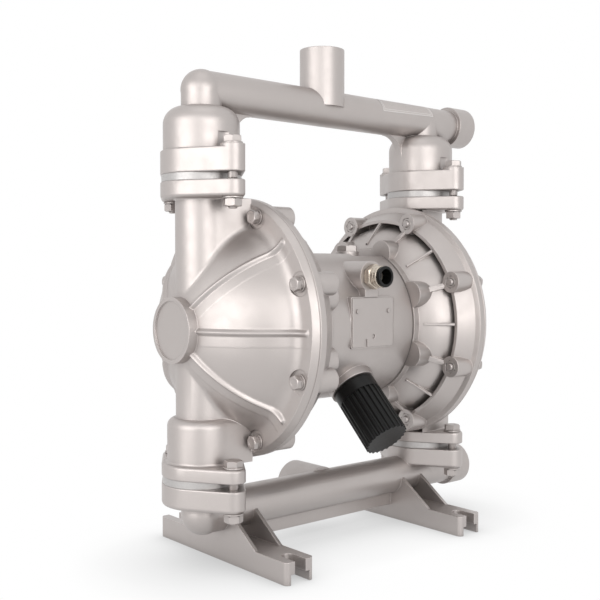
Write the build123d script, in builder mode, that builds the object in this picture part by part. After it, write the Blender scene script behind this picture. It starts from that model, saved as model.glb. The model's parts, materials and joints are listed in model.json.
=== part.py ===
from build123d import *
import os
from math import acos, cos, degrees, radians, sin, sqrt

os.makedirs("parts", exist_ok=True)

# Air operated double diaphragm pump, in millimetres.
# X runs along the diaphragm rod, Y to the rear and Z up.
# The origin is on the floor, under the middle of the pump.

# Main axes and planes
rod_z = 246.5
parting_x = 124.5
column_x = 167.5
joint_rise = 152.0
discharge_z = 494.3
suction_z = 52.9

# Clearances
running_fit = 0.05
seat_gap = 0.1
free_gap = 0.3

# Overlap of blanks that join into one casting, and the broken edge of turned pieces
bite = 2.0
edge_break = 1.0

# Fluid chamber
dome_top_x = 200.2
chamber_wall = 7.0
flange_r = 138.5
flange_inset = 11.5
lip_x = 132.0
lip_inset = 4.0
lip_fillet = 16.0
parting_chamfer = 0.9
boss_r = 34.2
boss_x = 206.3
boss_rim = 4.0
boss_recess = 1.4
dome_rib_rise = 3.0
dome_rib_w = 6.6
dome_rib_end_inset = 7.5
dome_rib_angles = [0, 45, -45, 180, 135, -135]
column_r = 27.6
column_bore_r = 20.0
clack_r = 36.7
clack_top_rise = 60.5
clack_round = 9.0
root_fillet = 3.0

# Two-bolt valve flanges, the same outline on all four joints
valve_flange_r = 42.6
ear_y = 54.6
ear_r = 12.5
upper_flange_t = 17.0
lower_flange_t = 14.3
flange_edge = 1.5
clack_flange_edge = 2.5
upper_flange_edge = 3.0
suction_flange_edge = 4.0

# Air chamber
collar_x = 70.0
floor_x = 62.0
bowl_wall = 9.0
bowl_sagitta = 6.0
pocket_x = 113.0
pocket_inset = 21.5
skirt_x = 95.5
skirt_inset = 15.9
skirt_wall = 4.0
step_x = 114.6
step_inset = 5.8
flange_back_x = 116.5
thin_rib_w = 3.4
bolt_rib_w = 6.0
rib_foot = 4.0
rib_shift = 3.0
lug_r = 15.2
lug_x = 84.0
clamp_width = 6.5

# Chamber bolts, M8
bolt_count = 8
bolt_inset = 13.05
m8_r = 4.0
m8_flats = 13.0
m8_head_h = 5.3
m8_nut_h = 6.5
m8_washer_r = 8.3
m8_washer_t = 1.6
bolt_hole_r = 4.5
bolt_seat_x = 131.5
bolt_pocket_r = 12.5
bolt_pocket_depth = 20.0
spring_washer_r = 7.0
spring_washer_t = 2.0
nut_boss_r = 12.0
nut_face_x = 91.0
bolt_tip = 2.0

# Manifold bolts, M10
m10_r = 5.0
m10_flats = 17.0
m10_head_h = 6.4
m10_nut_h = 8.0
m10_washer_r = 10.3
m10_washer_t = 2.0
m10_hole_r = 5.5
spot_face_r = 16.8
spot_face_depth = 14.0

# Check valves
seat_t = 7.3
seat_r = 41.5
seat_bore_r = 15.5
seat_cone = 4.0
ball_r = 24.0
ball_lift = 12.0
guide_r = 25.2
cage_r = 31.0
cage_h = 50.0
cage_taper = 11.0
fin_w = 4.5
o_ring_r = 36.5
o_ring_section = 2.8
o_ring_groove = 2.1

# Discharge manifold
discharge_flange_t = 24.7
ear_rise = 3.0
pipe_r = 20.8
pipe_bore_r = 15.5
riser_bore_r = 14.6
port_throat_r = 16.6
elbow_bore_r = 16.2
valve_dome_r = 39.8
valve_dome_top = 70.5
valve_dome_round = 18.5
port_hub_r = 25.7
port_face_z = 560.0
thread_r = 19.5
port_depth = 28.0
end_hub_r = 25.4
discharge_end_x = 243.8
end_hub_length = 28.5
plug_depth = 22.0
web_reach = 25.0
web_t = 9.0
elbow_swell = 0.8

# Suction manifold
suction_flange_t = 22.9
suction_pipe_r = 21.9
suction_bore_r = 16.0
suction_riser_r = 15.0
suction_elbow_r = 16.8
suction_end_x = 236.8
suction_port_y = 51.0
suction_port_depth = 24.0
skirt_foot_z = 17.0
skirt_t = 7.0

# Feet
foot_x = 130.0
foot_w = 35.8
foot_half_length = 114.5
foot_h = 22.7
foot_corner = 5.0
foot_web_t = 4.0
foot_web_y = 67.5
foot_web_top_y = 20.0
foot_web_top_z = 54.5
slot_w = 14.0
slot_length = 26.0
slot_land = 12.5
hollow_w = 24.0

# Centre body
body_r = 86.0
body_x = 61.5
top_cut = 8.3
top_pad_rise = 2.5
top_pad_end_x = 14.0
spigot_r = 37.0
spigot_x = 67.5
rod_clear_r = 13.5
pad_left = -35.0
pad_right = 30.0
pad_h = 56.0
pad_corner = 3.0
inlet_x = -5.0
inlet_drop = 31.5
inlet_to_pad = 21.5
inlet_boss_r = 17.0
inlet_neck_w = 20.0
inlet_boss_rise = 1.0
chamber_screw_inset = 23.0
chamber_screw_count = 6
chamber_screw_r = 4.0
chamber_screw_length = 24.0
chamber_screw_head_r = 7.0
chamber_screw_socket = 5.0
chamber_screw_socket_depth = 2.0
chamber_screw_hole_spare = 3.0

# Moving rod and diaphragms
rod_r = 12.5
stroke = 18.0
diaphragm_t = 4.0
plate_bolt_r = 8.0
plate_bolt_flats = 24.0
plate_bolt_head_h = 9.0
plate_bolt_grip = 18.0
inner_plate_r = 60.0
inner_plate_t = 10.0
inner_hub_r = 45.0
outer_plate_r = 55.0
outer_plate_t = 12.0
outer_hub_r = 24.8
plate_rim_t = 4.0
plate_rim_round = 3.0
convolution = 7.5
convolution_inset = 2.0

# Rod bearings
bushing_r = 17.0
bushing_length = 24.0
rod_seal_length = 5.0

# Pilot rod
pilot_drop = 27.0
pilot_r = 5.0
pilot_bushing_r = 7.0
pilot_bushing_length = 20.0
pilot_ratio = 1.0 / 3.0
pilot_free = 1.5

# Valve spool
spool_r = 10.0
spool_neck_r = 6.0
spool_land = 10.0
spool_travel = 8.0
sleeve_r = 16.0
valve_plug_t = 8.0
spool_seal_w = 2.0
sleeve_seal_w = 2.5
sleeve_seal_x = 30.0

# Top plug
top_plug_x = 30.5
top_plug_y = -10.0
top_plug_r = 7.0
top_plug_flats = 22.0
top_plug_head_h = 7.3
top_plug_boss_r = 13.5
top_plug_boss_h = 5.5
top_plug_engage = 4.0

# Air inlet fitting
fitting_thread_r = 8.5
fitting_thread_length = 11.0
fitting_flats = 24.0
fitting_hex_h = 8.0
fitting_body_r = 11.8
fitting_body_length = 9.0
tube_r = 8.1
fitting_bore_r = 6.5
collar_sleeve_r = 9.4
collar_flange_t = 3.4
collar_flange_r = 11.5
collar_travel = 1.5
collar_sleeve_length = 9.0
grip_t = 1.2
tube_o_ring_t = 2.0

# Exhaust muffler
muffler_x = -9.0
muffler_tilt = 45.0
muffler_shift = 3.5
muffler_standoff = 8.8
nipple_gap = 2.0
muffler_length = 70.0
muffler_r = 24.5
muffler_collar = 13.0
flute_count = 24
flute_r = 2.3
exhaust_boss_r = 26.5
nipple_r = 10.0
nipple_bore_r = 7.5
nipple_engage = 16.0
gallery_x = -20.0
gallery_y = -22.0
gallery_r = 6.0

# Plate and rivets
plate_t = 1.0
plate_inset = 1.5
rivet_r = 1.6
rivet_head_r = 2.4
rivet_head_h = 1.2
rivet_inset_x = 9.0
rivet_drop = 16.0
plate_hole_r = 2.4
plate_hole_x = -2.2
plate_hole_rise = 12.5
plate_slot_x = -13.3
plate_slot_w = 3.6
plate_slot_rise = 10.0

# Sizes that follow
upper_joint_z = rod_z + joint_rise
lower_joint_z = rod_z - joint_rise
dome_r = flange_r - flange_inset
lip_r = flange_r - lip_inset
dome_rib_end_r = lip_r - dome_rib_end_inset
bolt_circle_r = flange_r - bolt_inset
pocket_r = flange_r - pocket_inset
skirt_r = flange_r - skirt_inset
step_r = flange_r - step_inset
collar_r = body_r + 2
bowl_floor_r = collar_r - bowl_wall
lug_circle_r = collar_r
chamber_screw_circle_r = body_r - chamber_screw_inset
top_flat = body_r - top_cut
inlet_z = rod_z + body_r - inlet_drop
inlet_boss_y = body_r + inlet_boss_rise
pad_top = inlet_z - inlet_to_pad
pad_bottom = pad_top - pad_h
pad_y = body_r
muffler_start = body_r + muffler_standoff
dome_centre_x = dome_top_x - dome_r
cavity_r = dome_r - chamber_wall
clamp_depth = diaphragm_t / 2
clamp_x = parting_x + clamp_depth
opening_r = sqrt(cavity_r**2 - (clamp_x - dome_centre_x) ** 2)
clamp_r = opening_r + clamp_width
lip_angle = degrees(acos((lip_x - dome_centre_x) / dome_r))
rib_r = dome_r + dome_rib_rise
rib_face_x = lip_x + dome_rib_rise
rib_corner = (rib_face_x, sqrt(rib_r**2 - (rib_face_x - dome_centre_x) ** 2))
clamp_angle = degrees(acos((clamp_x - dome_centre_x) / cavity_r))
muffler_along = sin(radians(muffler_tilt))
ball_touch_r = ball_r * sqrt(0.5)
ball_rest = ball_touch_r + ball_touch_r - seat_bore_r - seat_cone

rod_axis = Axis((0, 0, rod_z), (1, 0, 0))


def radial(angle):
    """Plane through the rod axis, its x along the rod and its y outwards, this far above the front."""
    return Plane(
        origin=(0, 0, rod_z),
        x_dir=(1, 0, 0),
        z_dir=(0, -sin(radians(angle)), -cos(radians(angle))),
    )


def across(x, z=rod_z):
    """Plane square to the rod, its x along Y and its y up."""
    return Plane(origin=(x, 0, z), x_dir=(0, 1, 0), z_dir=(1, 0, 0))


def column_axis(centre_x):
    """Upright axis of a liquid column."""
    return Axis((centre_x, 0, 0), (0, 0, 1))


def on_sphere(radius, angle):
    """Point of a sphere of the fluid chamber, seen in a radial plane."""
    return (dome_centre_x + radius * cos(radians(angle)), radius * sin(radians(angle)))


def save(piece, name):
    """Label a finished piece and write it."""
    piece.label = name
    export_step(piece, f"parts/{name}.step")


def save_pair(piece, name):
    """Write a piece of the right side and its mirror image on the left side."""
    save(piece, f"{name}_right")
    save(mirror(piece, about=Plane.YZ), f"{name}_left")


def valve_flange(centre_x, base_z, thickness, low_edge, top_edge):
    """Plate of a two-bolt valve flange, ears along Y, with rounded edges."""
    with BuildPart() as plate:
        with BuildSketch(Plane.XY.offset(base_z)):
            with Locations((centre_x, 0)):
                Circle(valve_flange_r)
            with Locations((centre_x, ear_y), (centre_x, -ear_y)):
                Circle(ear_r)
            make_hull()
        extrude(amount=thickness)
        fillet(plate.edges().group_by(Axis.Z)[0], radius=low_edge)
        fillet(plate.edges().group_by(Axis.Z)[-1], radius=top_edge)
    return plate.part


def root_ring(centre_x, face_z, radius, direction):
    """Rounded root where an upright round body stands on a flange face."""
    outer_x = centre_x + min(radius + root_fillet, valve_flange_r - flange_edge)
    low_z = face_z - direction * bite
    top_z = face_z + direction * (root_fillet + bite)
    with BuildSketch(Plane.XZ) as outline:
        with BuildLine():
            Polyline(
                (centre_x, low_z),
                (outer_x, low_z),
                (outer_x, face_z),
                (centre_x + radius, face_z),
                (centre_x + radius, top_z),
                (centre_x, top_z),
                close=True,
            )
        make_face()
        fillet(outline.vertices().sort_by_distance((centre_x + radius, face_z))[0], root_fillet)
    revolve(outline.sketch, axis=column_axis(centre_x))


def ball_cage(centre_x, face_z, top_r):
    """Cut a ball's chamber above a seat face, with four guide fins and a stop across its top."""
    with BuildSketch(Plane.XZ) as outline:
        with BuildLine():
            Polyline(
                (centre_x, face_z),
                (centre_x + cage_r, face_z),
                (centre_x + cage_r, face_z + cage_h),
                (centre_x + top_r, face_z + cage_h + cage_taper),
                (centre_x, face_z + cage_h + cage_taper),
                close=True,
            )
        make_face()
    revolve(outline.sketch, axis=column_axis(centre_x), mode=Mode.SUBTRACT)
    with BuildSketch(Plane.XY.offset(face_z + fin_w)) as outline:
        with Locations((centre_x, 0)):
            Rectangle(2 * cage_r + bite, fin_w)
            Rectangle(fin_w, 2 * cage_r + bite)
    extrude(outline.sketch, amount=cage_h)
    top_centre = face_z + ball_rest + ball_lift + free_gap - (guide_r - ball_r)
    with BuildSketch(Plane.XZ) as outline:
        with BuildLine():
            Polyline(
                (centre_x, top_centre + guide_r),
                (centre_x, face_z),
                (centre_x + guide_r, face_z),
                (centre_x + guide_r, top_centre),
            )
            ThreePointArc(
                (centre_x + guide_r, top_centre),
                (centre_x + guide_r * sqrt(0.5), top_centre + guide_r * sqrt(0.5)),
                (centre_x, top_centre + guide_r),
            )
        make_face()
    revolve(outline.sketch, axis=column_axis(centre_x), mode=Mode.SUBTRACT)


def ear_holes(centre_x, base_z, height):
    """Bolt holes through the ears of a valve flange."""
    with BuildSketch(Plane.XY.offset(base_z)) as outline:
        with Locations((centre_x, ear_y), (centre_x, -ear_y)):
            Circle(m10_hole_r)
    extrude(outline.sketch, amount=height, mode=Mode.SUBTRACT)


# Fluid chambers: dome, liquid column, clack housing and two valve flanges in one casting
upper_flange = valve_flange(
    column_x, upper_joint_z - upper_flange_t, upper_flange_t, upper_flange_edge, flange_edge
)
lower_flange = valve_flange(
    column_x, lower_joint_z, lower_flange_t, flange_edge, clack_flange_edge
)

with BuildPart() as fluid_chamber:
    with BuildSketch(radial(90)) as shell_outline:
        with BuildLine():
            Polyline(
                (dome_top_x, 0),
                (parting_x, 0),
                (parting_x, flange_r - parting_chamfer),
                (parting_x + parting_chamfer, flange_r),
                (lip_x, lip_r),
                on_sphere(dome_r, lip_angle),
            )
            ThreePointArc(
                on_sphere(dome_r, lip_angle),
                on_sphere(dome_r, lip_angle / 2),
                on_sphere(dome_r, 0),
            )
        make_face()
        corner = shell_outline.vertices().sort_by_distance(on_sphere(dome_r, lip_angle))[0]
        fillet(corner, lip_fillet)
    revolve(axis=rod_axis)
    with BuildSketch(Plane.XY.offset(lower_joint_z)):
        with Locations((column_x, 0)):
            Circle(column_r)
    extrude(amount=2 * joint_rise)
    with BuildSketch(Plane.XZ) as clack_outline:
        with BuildLine():
            Polyline(
                (column_x, lower_joint_z + bite),
                (column_x + clack_r, lower_joint_z + bite),
                (column_x + clack_r, lower_joint_z + clack_top_rise),
                (column_x, lower_joint_z + clack_top_rise),
                close=True,
            )
        make_face()
        shoulder = (column_x + clack_r, lower_joint_z + clack_top_rise)
        fillet(clack_outline.vertices().sort_by_distance(shoulder)[0], clack_round)
    revolve(axis=column_axis(column_x))
    root_ring(column_x, lower_joint_z + lower_flange_t, clack_r, 1)
    root_ring(column_x, upper_joint_z - upper_flange_t, column_r, -1)
    add(upper_flange)
    add(lower_flange)
    # Ribs that follow the dome and its root out to the lip
    for angle in dome_rib_angles:
        with BuildSketch(radial(angle)) as rib_outline:
            with Locations((dome_centre_x, 0)):
                Circle(rib_r)
                Circle(dome_r - chamber_wall / 2, mode=Mode.SUBTRACT)
            with Locations((lip_x - bite, boss_r - boss_rim)):
                Rectangle(dome_r, dome_r, align=(Align.MIN, Align.MIN), mode=Mode.INTERSECT)
            with Locations((rib_face_x, rib_corner[1] - bite)):
                Rectangle(
                    dome_rib_rise + bite,
                    dome_rib_end_r - rib_corner[1] + bite,
                    align=(Align.MAX, Align.MIN),
                )
            corner = rib_outline.vertices().sort_by_distance(rib_corner)[0]
            fillet(corner, lip_fillet - dome_rib_rise)
        extrude(rib_outline.sketch, amount=dome_rib_w / 2, both=True)
    with BuildSketch(across(dome_top_x - chamber_wall)):
        Circle(boss_r)
    extrude(amount=boss_x - dome_top_x + chamber_wall)
    with BuildSketch(across(boss_x)):
        Circle(boss_r - boss_rim)
    extrude(amount=-boss_recess, mode=Mode.SUBTRACT)
    # Pockets that the bolt heads sit in
    with BuildSketch(across(bolt_seat_x)):
        with PolarLocations(bolt_circle_r, bolt_count, start_angle=180 / bolt_count):
            Circle(bolt_pocket_r)
    extrude(amount=bolt_pocket_depth, mode=Mode.SUBTRACT)
    # Cavity, with the ledge that grips the diaphragm's rim
    with BuildSketch(radial(90)):
        with BuildLine():
            Polyline(
                on_sphere(cavity_r, 0),
                (parting_x, 0),
                (parting_x, clamp_r),
                (clamp_x, clamp_r),
                on_sphere(cavity_r, clamp_angle),
            )
            ThreePointArc(
                on_sphere(cavity_r, clamp_angle),
                on_sphere(cavity_r, clamp_angle / 2),
                on_sphere(cavity_r, 0),
            )
        make_face()
    revolve(axis=rod_axis, mode=Mode.SUBTRACT)
    with BuildSketch(Plane.XY.offset(lower_joint_z)):
        with Locations((column_x, 0)):
            Circle(column_bore_r)
    extrude(amount=2 * joint_rise, mode=Mode.SUBTRACT)
    ball_cage(column_x, lower_joint_z, column_bore_r)
    ear_holes(column_x, lower_joint_z, lower_flange_t)
    ear_holes(column_x, upper_joint_z - upper_flange_t, upper_flange_t)
    with BuildSketch(across(parting_x)):
        with PolarLocations(bolt_circle_r, bolt_count, start_angle=180 / bolt_count):
            Circle(bolt_hole_r)
    extrude(amount=bolt_seat_x - parting_x, mode=Mode.SUBTRACT)
save_pair(fluid_chamber.part, "fluid_chamber")


# Air chambers: ribbed bowl with a deep skirt and eight nut bosses
def air_rib(angle, width, foot_x_near):
    """Rib between the collar and the skirt, along the bowl."""
    with BuildSketch(radial(angle)) as outline:
        with BuildLine():
            Polyline(
                (collar_x, collar_r - rib_foot),
                (foot_x_near, collar_r + rib_foot),
                (skirt_x + bite, skirt_r - skirt_wall / 2),
                (pocket_x + bite, skirt_r),
                (pocket_x + bite, pocket_r - bite),
                close=True,
            )
        make_face()
    extrude(outline.sketch, amount=width / 2, both=True)


with BuildPart() as air_chamber:
    with BuildSketch(radial(90)):
        with BuildLine():
            Polyline(
                (floor_x, spigot_r + seat_gap),
                (floor_x, collar_r),
                (collar_x, collar_r),
            )
            SagittaArc((collar_x, collar_r), (pocket_x, pocket_r), bowl_sagitta)
            Polyline(
                (pocket_x, pocket_r),
                (pocket_x, step_r - 2 * skirt_wall),
                (skirt_x, skirt_r - skirt_wall),
                (skirt_x, skirt_r),
                (step_x, step_r),
                (flange_back_x, flange_r),
                (parting_x - parting_chamfer, flange_r),
                (parting_x, flange_r - parting_chamfer),
                (parting_x, clamp_r),
                (parting_x - clamp_depth, clamp_r),
                (parting_x - clamp_depth, opening_r),
            )
            SagittaArc((parting_x - clamp_depth, opening_r), (collar_x, bowl_floor_r), -bowl_sagitta)
            Polyline(
                (collar_x, bowl_floor_r),
                (collar_x, spigot_r + seat_gap),
                (floor_x, spigot_r + seat_gap),
            )
        make_face()
    revolve(axis=rod_axis)
    for index in range(bolt_count):
        air_rib(index * 360 / bolt_count, thin_rib_w, collar_x + rib_shift)
        air_rib((index + 0.5) * 360 / bolt_count, bolt_rib_w, collar_x - rib_shift)
    with BuildSketch(across(floor_x)):
        with PolarLocations(lug_circle_r, bolt_count, start_angle=180 / bolt_count):
            Circle(lug_r)
        Circle(collar_r - bite, mode=Mode.SUBTRACT)
    extrude(amount=lug_x - floor_x)
    with BuildSketch(across(nut_face_x)):
        with PolarLocations(bolt_circle_r, bolt_count, start_angle=180 / bolt_count):
            Circle(nut_boss_r)
    extrude(amount=parting_x - nut_face_x)
    # Hollow of the bowl again, where ribs and lugs reached into it
    with BuildSketch(radial(90)):
        with BuildLine():
            Polyline(
                (collar_x, bowl_floor_r),
                (collar_x, 0),
                (parting_x, 0),
                (parting_x, clamp_r),
                (parting_x - clamp_depth, clamp_r),
                (parting_x - clamp_depth, opening_r),
            )
            SagittaArc((parting_x - clamp_depth, opening_r), (collar_x, bowl_floor_r), -bowl_sagitta)
        make_face()
    revolve(axis=rod_axis, mode=Mode.SUBTRACT)
    with BuildSketch(across(nut_face_x)):
        with PolarLocations(bolt_circle_r, bolt_count, start_angle=180 / bolt_count):
            Circle(bolt_hole_r)
    extrude(amount=parting_x - nut_face_x, mode=Mode.SUBTRACT)
    with BuildSketch(across(nut_face_x)):
        with PolarLocations(bolt_circle_r, bolt_count, start_angle=180 / bolt_count):
            RegularPolygon(m8_flats / 2 + seat_gap, 6, major_radius=False)
    extrude(amount=m8_nut_h, mode=Mode.SUBTRACT)
    with BuildSketch(across(floor_x)):
        with PolarLocations(chamber_screw_circle_r, chamber_screw_count):
            Circle(chamber_screw_r)
    extrude(amount=collar_x - floor_x, mode=Mode.SUBTRACT)
    with BuildSketch(across(collar_x)):
        with PolarLocations(chamber_screw_circle_r, chamber_screw_count):
            Circle(chamber_screw_head_r)
    extrude(amount=-(chamber_screw_head_r - chamber_screw_r), taper=45, mode=Mode.SUBTRACT)
save_pair(air_chamber.part, "air_chamber")

with BuildPart() as air_chamber_gaskets:
    with BuildSketch(across(body_x)):
        Circle(body_r)
        Circle(spigot_r + seat_gap, mode=Mode.SUBTRACT)
        with PolarLocations(chamber_screw_circle_r, chamber_screw_count):
            Circle(chamber_screw_r, mode=Mode.SUBTRACT)
        with Locations((0, top_flat)):
            Rectangle(
                2 * body_r, body_r, align=(Align.CENTER, Align.MIN), mode=Mode.SUBTRACT
            )
    extrude(amount=floor_x - body_x)
    mirror(about=Plane.YZ)
save(air_chamber_gaskets.part, "air_chamber_gaskets")

with BuildPart() as air_chamber_screws:
    with BuildSketch(across(collar_x)):
        with PolarLocations(chamber_screw_circle_r, chamber_screw_count):
            Circle(chamber_screw_head_r)
    extrude(amount=-(chamber_screw_head_r - chamber_screw_r), taper=45)
    with BuildSketch(across(collar_x - bite)):
        with PolarLocations(chamber_screw_circle_r, chamber_screw_count):
            Circle(chamber_screw_r)
    extrude(amount=-chamber_screw_length)
    with BuildSketch(across(collar_x)):
        with PolarLocations(chamber_screw_circle_r, chamber_screw_count):
            RegularPolygon(chamber_screw_socket / 2, 6, major_radius=False)
    extrude(amount=-chamber_screw_socket_depth, mode=Mode.SUBTRACT)
    mirror(about=Plane.YZ)
save(air_chamber_screws.part, "air_chamber_screws")


# Centre body: cylinder with a flat top, air inlet boss, plate pad and exhaust boss
def muffler_plane(distance):
    """Plane square to the muffler's axis, this far from the rod."""
    return Plane(
        origin=(
            muffler_x,
            -(distance - muffler_shift) * muffler_along,
            rod_z - (distance + muffler_shift) * muffler_along,
        ),
        x_dir=(1, 0, 0),
        z_dir=(0, -muffler_along, -muffler_along),
    )


def front_plane(distance):
    """Upright plane in front of the rod, facing the front, its x along X and its y up."""
    return Plane(origin=(0, -distance, 0), x_dir=(1, 0, 0), z_dir=(0, -1, 0))


sleeve_z = inlet_z
bushing_end_x = spigot_x
bushing_start_x = bushing_end_x - bushing_length
pilot_z = rod_z - pilot_drop
screw_hole_depth = chamber_screw_length + bite - (collar_x - body_x) + chamber_screw_hole_spare


def flat_topped(start_x, length, height):
    """Part of the body's cylinder with a flat top this high above the rod."""
    with BuildSketch(across(start_x)) as outline:
        Circle(body_r)
        with Locations((0, height)):
            Rectangle(2 * body_r, body_r, align=(Align.CENTER, Align.MIN), mode=Mode.SUBTRACT)
    extrude(outline.sketch, amount=length)


with BuildPart() as center_body:
    flat_topped(-body_x, 2 * body_x, top_flat)
    flat_topped(-body_x, body_x + top_pad_end_x, top_flat + top_pad_rise)
    with BuildSketch(across(-spigot_x)):
        Circle(spigot_r)
    extrude(amount=2 * spigot_x)
    with BuildSketch(front_plane(0)):
        with Locations((inlet_x, inlet_z)):
            Circle(inlet_boss_r)
            Rectangle(
                inlet_neck_w, inlet_to_pad + plate_inset / 2, align=(Align.CENTER, Align.MAX)
            )
    extrude(amount=inlet_boss_y)
    with BuildSketch(front_plane(0)):
        with Locations(((pad_left + pad_right) / 2, (pad_bottom + pad_top) / 2)):
            RectangleRounded(pad_right - pad_left, pad_top - pad_bottom, pad_corner)
    extrude(amount=pad_y)
    with BuildSketch(muffler_plane(muffler_start - muffler_r)):
        Circle(exhaust_boss_r)
    extrude(amount=muffler_r - nipple_gap)
    with BuildSketch(Plane.XY.offset(rod_z + top_flat - bite)):
        with Locations((top_plug_x, top_plug_y)):
            Circle(top_plug_boss_r)
    extrude(amount=top_plug_boss_h + bite)
    # Bores: rod, bushings, pilot rod, valve sleeve
    with BuildSketch(across(-spigot_x)):
        Circle(rod_clear_r)
    extrude(amount=2 * spigot_x, mode=Mode.SUBTRACT)
    for side in (-1, 1):
        with BuildSketch(across(side * spigot_x)):
            Circle(bushing_r)
        extrude(amount=-side * (bushing_length + rod_seal_length), mode=Mode.SUBTRACT)
        with BuildSketch(across(side * spigot_x, pilot_z)):
            Circle(pilot_bushing_r)
        extrude(amount=-side * pilot_bushing_length, mode=Mode.SUBTRACT)
    with BuildSketch(across(-spigot_x, pilot_z)):
        Circle(pilot_r + free_gap)
    extrude(amount=2 * spigot_x, mode=Mode.SUBTRACT)
    with BuildSketch(across(-body_x, sleeve_z)):
        Circle(sleeve_r)
    extrude(amount=2 * body_x, mode=Mode.SUBTRACT)
    # Air inlet, exhaust gallery and exhaust port
    with BuildSketch(front_plane(0)):
        with Locations((inlet_x, inlet_z)):
            Circle(fitting_thread_r)
    extrude(amount=inlet_boss_y, mode=Mode.SUBTRACT)
    with BuildSketch(Plane.XY.offset(rod_z - sleeve_r - bushing_r)):
        with Locations((gallery_x, gallery_y)):
            Circle(gallery_r)
    extrude(amount=sleeve_z - rod_z + sleeve_r + bushing_r, mode=Mode.SUBTRACT)
    with BuildSketch(front_plane(0)):
        with Locations((gallery_x, sleeve_z)):
            Circle(gallery_r - 1)
    extrude(amount=-gallery_y, mode=Mode.SUBTRACT)
    with BuildSketch(muffler_plane(muffler_start - nipple_gap)):
        Circle(nipple_r)
    extrude(amount=-(muffler_start - 2 * muffler_r), mode=Mode.SUBTRACT)
    with BuildSketch(Plane.XY.offset(rod_z + top_flat + top_plug_boss_h)):
        with Locations((top_plug_x, top_plug_y)):
            Circle(top_plug_r)
    extrude(amount=-(top_plug_boss_h + top_plug_boss_r), mode=Mode.SUBTRACT)
    with BuildSketch(across(body_x)):
        with PolarLocations(chamber_screw_circle_r, chamber_screw_count):
            Circle(chamber_screw_r)
    extrude(amount=-screw_hole_depth, mode=Mode.SUBTRACT)
    with BuildSketch(across(-body_x)):
        with PolarLocations(chamber_screw_circle_r, chamber_screw_count):
            Circle(chamber_screw_r)
    extrude(amount=screw_hole_depth, mode=Mode.SUBTRACT)
save(center_body.part, "center_body")

# Discharge manifold: cross pipe over two valve domes, top port, end hub and two webs
discharge_face_z = upper_joint_z + seat_t
discharge_top_z = discharge_face_z + discharge_flange_t
discharge_flanges = [
    valve_flange(side * column_x, discharge_face_z, discharge_flange_t, flange_edge, flange_edge)
    for side in (-1, 1)
]

with BuildPart() as discharge_manifold:
    for side in (-1, 1):
        centre_x = side * column_x
        with BuildSketch(Plane.XZ) as dome_outline:
            dome_top = discharge_face_z + valve_dome_top
            with BuildLine():
                Polyline(
                    (centre_x, discharge_face_z + bite),
                    (centre_x + valve_dome_r, discharge_face_z + bite),
                    (centre_x + valve_dome_r, dome_top),
                    (centre_x, dome_top),
                    close=True,
                )
            make_face()
            edge = dome_outline.vertices().sort_by_distance((centre_x + valve_dome_r, dome_top))[0]
            fillet(edge, valve_dome_round)
        revolve(axis=column_axis(centre_x))
        add(discharge_flanges[(side + 1) // 2])
        with BuildSketch(Plane.XY.offset(discharge_top_z - bite)):
            with Locations((centre_x, ear_y), (centre_x, -ear_y)):
                Circle(ear_r)
        extrude(amount=ear_rise + bite)
        with BuildSketch(Plane.XY.offset(discharge_face_z + bite)):
            with Locations((centre_x, 0)):
                Circle(pipe_r + elbow_swell / 2)
        extrude(amount=discharge_z - discharge_face_z - bite)
        # Round seats that the spot-facer leaves over the ears
        with BuildSketch(Plane.XY.offset(discharge_top_z + ear_rise)):
            with Locations((centre_x, ear_y), (centre_x, -ear_y)):
                Circle(spot_face_r)
        extrude(amount=spot_face_depth, mode=Mode.SUBTRACT)
        with BuildSketch(Plane.XZ):
            edge_x = centre_x - side * (valve_dome_r + web_reach)
            edge_z = discharge_z - pipe_r - web_reach
            with BuildLine():
                Polyline(
                    (edge_x + side * web_reach, edge_z),
                    (centre_x, edge_z),
                    (centre_x, discharge_z),
                    (edge_x, discharge_z),
                    (edge_x, edge_z + web_reach),
                )
                ThreePointArc(
                    (edge_x, edge_z + web_reach),
                    (
                        edge_x + side * web_reach * sqrt(0.5),
                        edge_z + web_reach * sqrt(0.5),
                    ),
                    (edge_x + side * web_reach, edge_z),
                )
            make_face()
        extrude(amount=web_t / 2, both=True)
    with BuildSketch(across(-column_x, discharge_z)):
        Circle(pipe_r)
    extrude(amount=column_x + discharge_end_x - bite)
    with Locations((-column_x, 0, discharge_z)):
        Sphere(pipe_r + elbow_swell)
    with BuildSketch(across(discharge_end_x, discharge_z)):
        Circle(end_hub_r)
    extrude(amount=-end_hub_length)
    with BuildSketch(Plane.XY.offset(discharge_z)):
        Circle(port_hub_r)
    extrude(amount=port_face_z - discharge_z)
    # Waterway
    with BuildSketch(across(-column_x, discharge_z)):
        Circle(pipe_bore_r)
    extrude(amount=column_x + discharge_end_x, mode=Mode.SUBTRACT)
    with BuildSketch(across(discharge_end_x, discharge_z)):
        Circle(thread_r)
    extrude(amount=-plug_depth, mode=Mode.SUBTRACT)
    with BuildSketch(Plane.XY.offset(port_face_z)):
        Circle(thread_r)
    extrude(amount=-port_depth, mode=Mode.SUBTRACT)
    with BuildSketch(Plane.XY.offset(discharge_z)):
        Circle(port_throat_r)
    extrude(amount=port_face_z - discharge_z, mode=Mode.SUBTRACT)
    with Locations((-column_x, 0, discharge_z)):
        Sphere(elbow_bore_r, mode=Mode.SUBTRACT)
    for side in (-1, 1):
        with BuildSketch(Plane.XY.offset(discharge_face_z + cage_h)):
            with Locations((side * column_x, 0)):
                Circle(riser_bore_r)
        extrude(amount=discharge_z - discharge_face_z - cage_h, mode=Mode.SUBTRACT)
        ball_cage(side * column_x, discharge_face_z, riser_bore_r)
        ear_holes(side * column_x, discharge_face_z, discharge_flange_t + ear_rise)
save(discharge_manifold.part, "discharge_manifold")

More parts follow.
